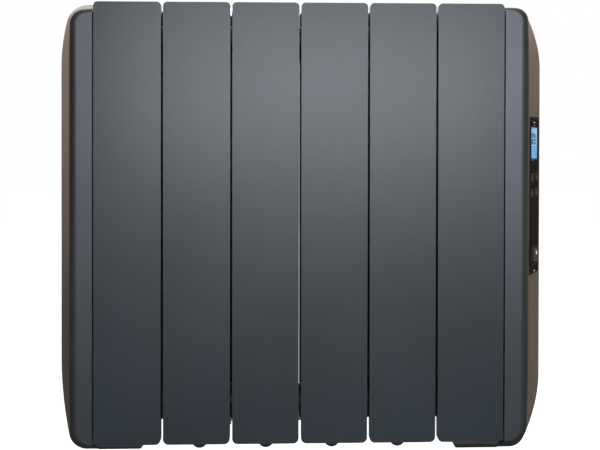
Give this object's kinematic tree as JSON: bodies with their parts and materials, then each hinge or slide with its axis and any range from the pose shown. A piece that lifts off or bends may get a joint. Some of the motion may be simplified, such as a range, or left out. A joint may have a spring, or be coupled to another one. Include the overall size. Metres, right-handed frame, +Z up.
{
  "type": "electric radiator",
  "caption": "Slim wall-hung electric radiator of upright aluminium profile elements between flared moulded end caps, with a side control panel, display, keys and rocker switch.",
  "frame": {"origin": "under the middle of the whole body, level with the lowest face of the end caps", "axes": "+X to the right end cap with the controls, +Y back to the wall, +Z up"},
  "size_m": [0.589, 0.098, 0.544],
  "materials": {
    "enamel": "satin anthracite powder coat",
    "plug_enamel": "satin anthracite powder coat",
    "zinc_plate": "dull zinc plate",
    "gasket_rubber": "matt",
    "heater_sheath": "oxidised steel sheath",
    "brass_fitting": "turned",
    "terminal_ceramic": "fired, unglazed",
    "chassis_steel": "black coated sheet",
    "cap_plastic": "fine-grained anthracite moulding",
    "screw_steel": "zinc-plated",
    "fascia_gloss": "high gloss",
    "window_clear": "clear window",
    "lcd_backlight": "back-lit blue display",
    "indicator_white": "clouded lens",
    "housing_black": "moulded",
    "board_green": "solder mask",
    "board_brown": "bare laminate",
    "key_gloss": "gloss",
    "switch_black": "moulded",
    "rocker_black": "half gloss",
    "relay_blue": "moulded",
    "capacitor_yellow": "moulded",
    "bare_aluminium": "as extruded",
    "terminal_white": "moulded",
    "wire_red": "silicone-sleeved",
    "sleeve_plastic": "moulded"
  },
  "bodies": {
    "radiator": {"element_1": "enamel", "element_2": "enamel", "element_3": "enamel", "element_4": "enamel", "element_5": "enamel", "element_6": "enamel", "duct_bottom_plugs": "plug_enamel", "duct_top_plugs": "zinc_plate", "hub_nipples": "zinc_plate", "hub_gaskets": "gasket_rubber", "blank_plugs": "zinc_plate", "end_gaskets": "gasket_rubber", "immersion_heater": "heater_sheath", "heater_flange": "brass_fitting", "heater_terminals": "terminal_ceramic", "left_chassis": "chassis_steel", "right_chassis": "chassis_steel", "left_end_cap": "cap_plastic", "right_end_cap": "cap_plastic", "cap_screws": "screw_steel", "panel_fascia": "fascia_gloss", "display_window": "window_clear", "lcd_module": "lcd_backlight", "indicator_lens": "indicator_white", "control_housing": "housing_black", "control_board": "board_green", "tact_switches": "housing_black", "switch_housing": "switch_black", "switch_tabs": "brass_fitting", "power_board": "board_brown", "board_standoffs": "brass_fitting", "relay": "relay_blue", "filter_capacitor": "capacitor_yellow", "triac": "housing_black", "heat_sink": "bare_aluminium", "terminal_block": "terminal_white", "safety_thermostat": "terminal_ceramic", "thermostat_screws": "screw_steel", "room_sensor": "housing_black", "cable_bush": "housing_black", "internal_wiring": "wire_red", "frame_uprights": "zinc_plate", "frame_crossbars": "zinc_plate", "frame_sleeves": "sleeve_plastic"},
    "key_front_upper": {"key_front_upper": "key_gloss"},
    "key_rear_upper": {"key_rear_upper": "key_gloss"},
    "key_front_lower": {"key_front_lower": "key_gloss"},
    "key_rear_lower": {"key_rear_lower": "key_gloss"},
    "rocker": {"switch_rocker": "rocker_black"}
  },
  "joints": [
    {"name": "press_front_upper", "type": "slide", "parent": "radiator", "child": "key_front_upper", "axis": [-0.848, 0.5299, 0], "range_m": [0, 0.0005], "stiffness_N_per_m": 400, "springref_m": -0.002},
    {"name": "press_rear_upper", "type": "slide", "parent": "radiator", "child": "key_rear_upper", "axis": [-0.848, 0.5299, 0], "range_m": [0, 0.0005], "stiffness_N_per_m": 400, "springref_m": -0.002},
    {"name": "press_front_lower", "type": "slide", "parent": "radiator", "child": "key_front_lower", "axis": [-0.848, 0.5299, 0], "range_m": [0, 0.0005], "stiffness_N_per_m": 400, "springref_m": -0.002},
    {"name": "press_rear_lower", "type": "slide", "parent": "radiator", "child": "key_rear_lower", "axis": [-0.848, 0.5299, 0], "range_m": [0, 0.0005], "stiffness_N_per_m": 400, "springref_m": -0.002},
    {"name": "rocker_tilt", "type": "hinge", "parent": "radiator", "child": "rocker", "pos_m": [0.27282, -0.02447, 0.2415], "axis": [0, 0, 1], "range_deg": [0, 22]}
  ]
}
